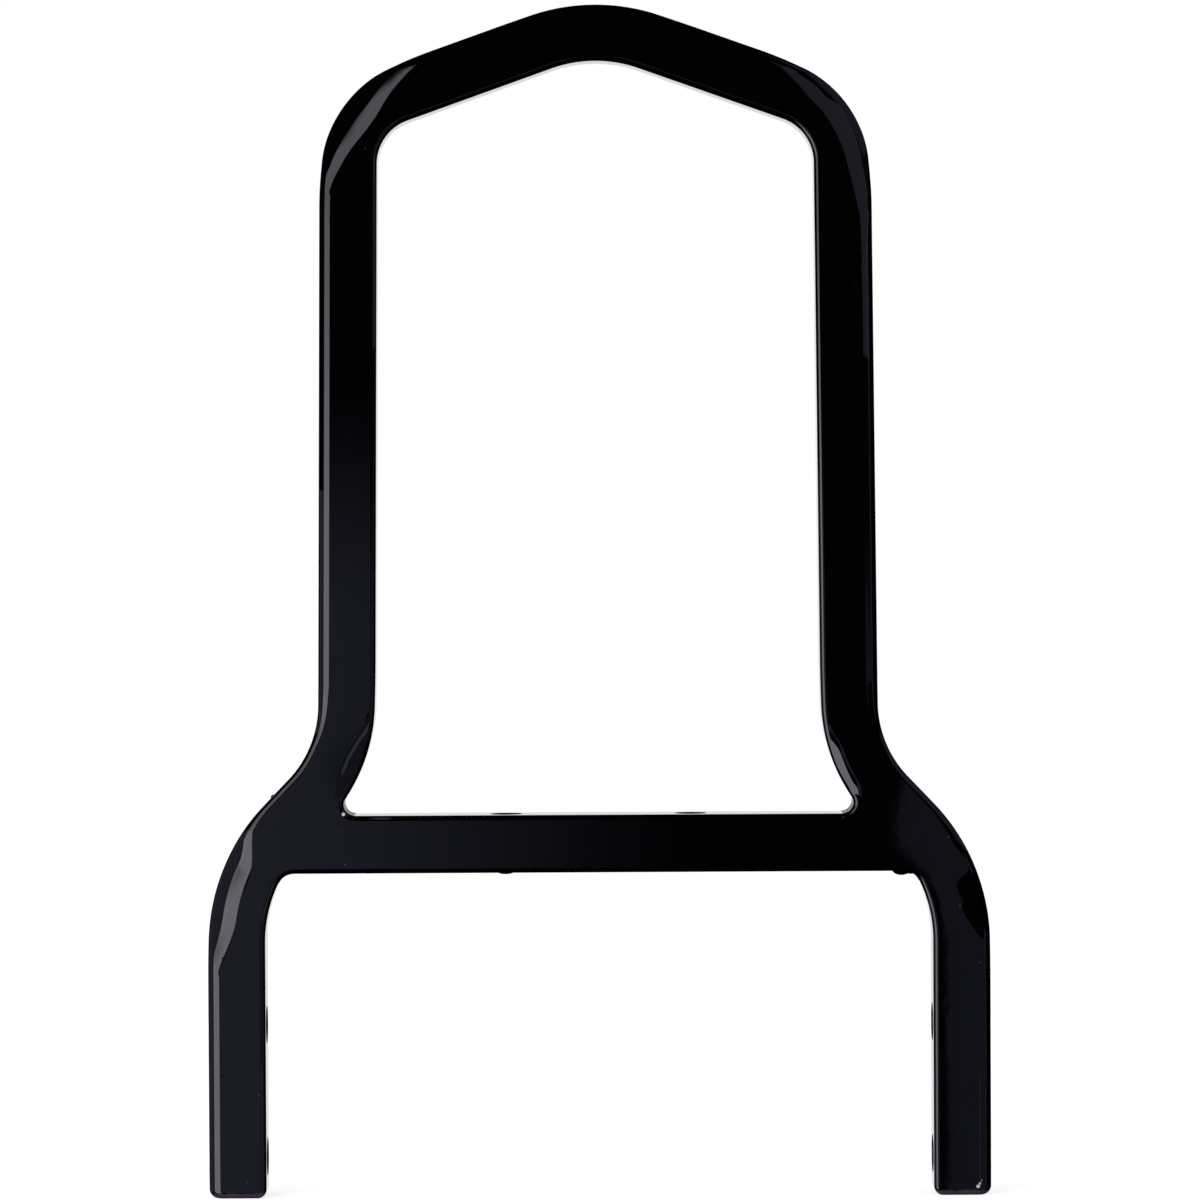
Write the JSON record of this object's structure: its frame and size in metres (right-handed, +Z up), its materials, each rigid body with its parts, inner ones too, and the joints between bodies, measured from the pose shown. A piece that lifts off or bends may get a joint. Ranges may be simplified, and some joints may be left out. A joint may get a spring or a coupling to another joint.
{
  "type": "sissy bar",
  "caption": "Upright motorbike sissy bar: a hoop of bent square bar with a peaked top and jogged legs, a welded cross bar and bolt holes, coated gloss black.",
  "frame": {"origin": "midway between the two feet, on the plane of their sawn ends, at mid depth of the bar", "axes": "+Z up along the legs, +X across to the right leg as seen from the front, the front face towards -Y"},
  "size_m": [0.2154, 0.0158, 0.3274],
  "materials": {
    "black_gloss_coat": "gloss black powder coat over steel"
  },
  "bodies": {
    "root": {"hoop": "black_gloss_coat", "cross_bar": "black_gloss_coat", "left_weld": "black_gloss_coat", "right_weld": "black_gloss_coat"}
  },
  "joints": []
}
